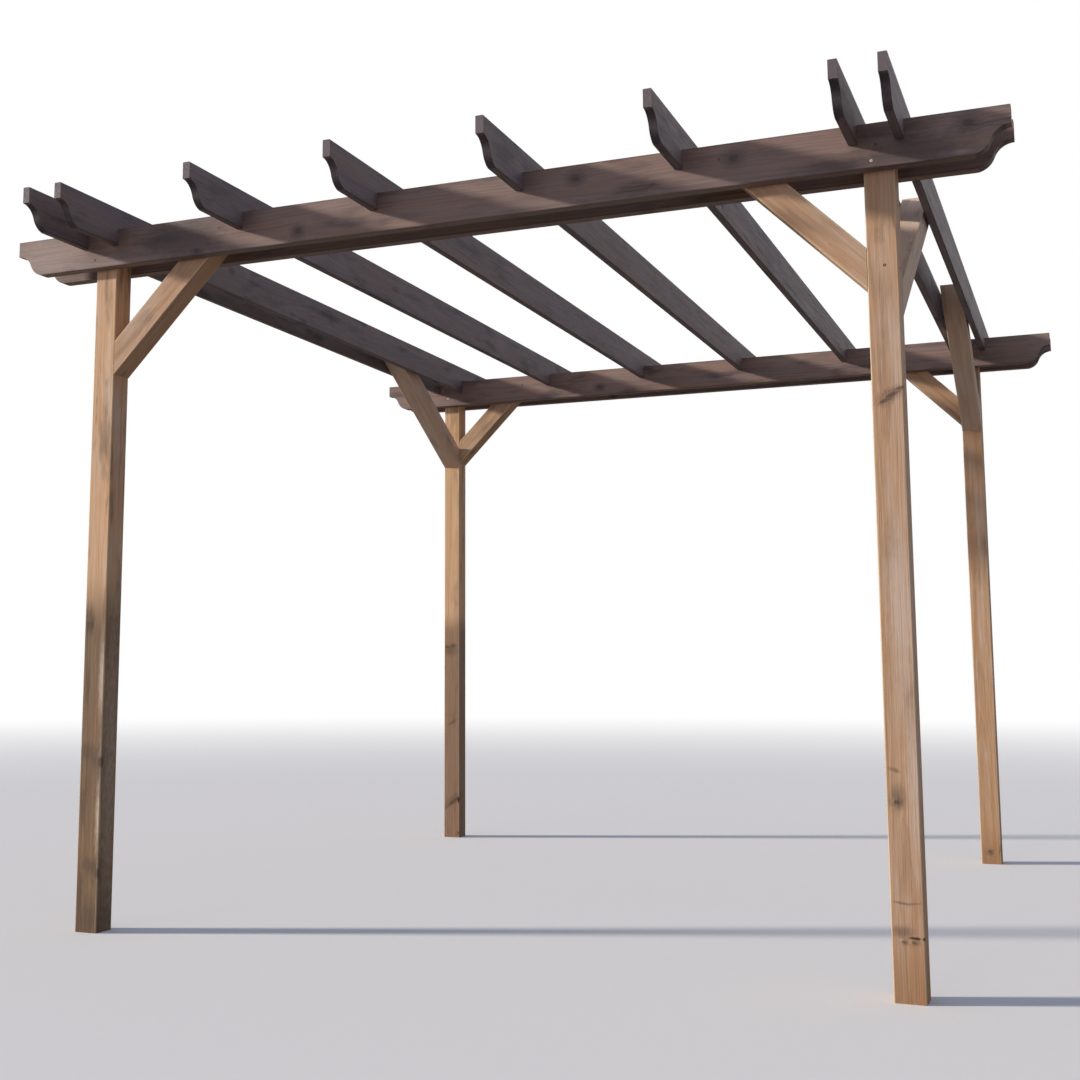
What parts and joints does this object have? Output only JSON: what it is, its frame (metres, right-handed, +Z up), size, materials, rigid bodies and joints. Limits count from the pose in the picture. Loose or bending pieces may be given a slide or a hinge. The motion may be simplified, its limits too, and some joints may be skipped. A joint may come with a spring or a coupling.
{
  "type": "pergola",
  "caption": "Free-standing timber pergola: square posts, paired header boards, notched rafters with shaped ends, and knee braces under an open roof.",
  "frame": {"origin": "middle of the plan on the level ground that the four posts stand on", "axes": "+X to the right along the header boards, +Y to the rear along the rafters, +Z up"},
  "size_m": [3.745, 4.245, 2.745],
  "materials": {
    "frame_timber": "weathered tan softwood, planed",
    "stained_board": "dark brown stained softwood, planed"
  },
  "bodies": {
    "root": {"post_front_left": "frame_timber", "post_front_right": "frame_timber", "post_rear_left": "frame_timber", "post_rear_right": "frame_timber", "header_front_outer": "stained_board", "header_front_inner": "stained_board", "header_rear_outer": "stained_board", "header_rear_inner": "stained_board", "rafter_left_outer": "stained_board", "rafter_left_inner": "stained_board", "rafter_middle_1": "stained_board", "rafter_middle_2": "stained_board", "rafter_middle_3": "stained_board", "rafter_middle_4": "stained_board", "rafter_right_inner": "stained_board", "rafter_right_outer": "stained_board", "cross_brace_front_left": "frame_timber", "cross_brace_front_right": "frame_timber", "cross_brace_rear_left": "frame_timber", "cross_brace_rear_right": "frame_timber", "depth_brace_front_right": "frame_timber", "depth_brace_rear_left": "frame_timber", "depth_brace_rear_right": "frame_timber"}
  },
  "joints": []
}
